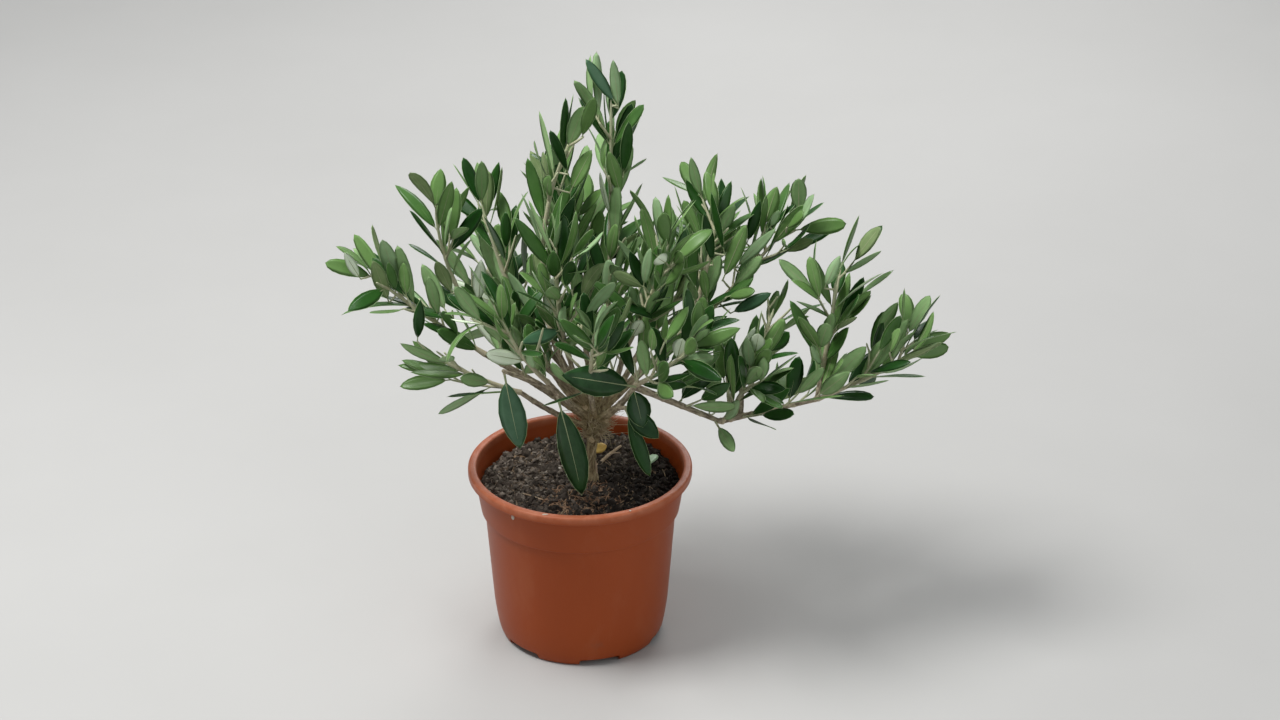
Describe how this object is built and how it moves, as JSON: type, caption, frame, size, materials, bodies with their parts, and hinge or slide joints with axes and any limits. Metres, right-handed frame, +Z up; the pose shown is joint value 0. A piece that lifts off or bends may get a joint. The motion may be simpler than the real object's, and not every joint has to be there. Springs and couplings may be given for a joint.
{
  "type": "potted olive bonsai",
  "caption": "Young olive grown as a bonsai: a short trunk that fans into low boughs and open sprays of slim leaves, in a round tapered nursery pot with soil.",
  "frame": {"origin": "middle of the pot's flat underside", "axes": "+Z up the pot's axis, -Y towards the viewer of the picture, +X to that viewer's right"},
  "size_m": [0.3458, 0.2028, 0.3468],
  "materials": {
    "pot": "satin terracotta plastic",
    "soil": "dark crumbly potting soil",
    "bark": "grey-brown young bark",
    "foliage": "leathery leaves, dark green above and silvery below"
  },
  "bodies": {
    "root": {"pot": "pot", "soil": "soil", "trunk": "bark", "bough_left": "bark", "bough_right_low": "bark", "bough_right_high": "bark", "bough_leader_left": "bark", "bough_leader_right": "bark", "bough_left_rise": "bark", "bough_left_upright": "bark", "bough_left_low": "bark", "bough_centre_right": "bark", "bough_centre_left": "bark", "bough_front_left": "bark", "bough_front": "bark", "bough_front_right": "bark", "bough_right_mid": "bark", "bough_right_rear": "bark", "bough_right_fan": "bark", "bough_right_rise": "bark", "bough_back": "bark", "bough_back_high": "bark", "bough_back_left": "bark", "bough_back_right": "bark", "bough_hang_left": "bark", "bough_hang_centre": "bark", "bough_hang_right": "bark", "spray_left": "foliage", "spray_right_low": "foliage", "spray_right_high": "foliage", "spray_leader_left": "foliage", "spray_leader_right": "foliage", "spray_left_rise": "foliage", "spray_left_upright": "foliage", "spray_left_low": "foliage", "spray_centre_right": "foliage", "spray_centre_left": "foliage", "spray_front_left": "foliage", "spray_front": "foliage", "spray_front_right": "foliage", "spray_right_mid": "foliage", "spray_right_rear": "foliage", "spray_right_fan": "foliage", "spray_right_rise": "foliage", "spray_back": "foliage", "spray_back_high": "foliage", "spray_back_left": "foliage", "spray_back_right": "foliage", "spray_hang_left": "foliage", "spray_hang_centre": "foliage", "spray_hang_right": "foliage"}
  },
  "joints": []
}
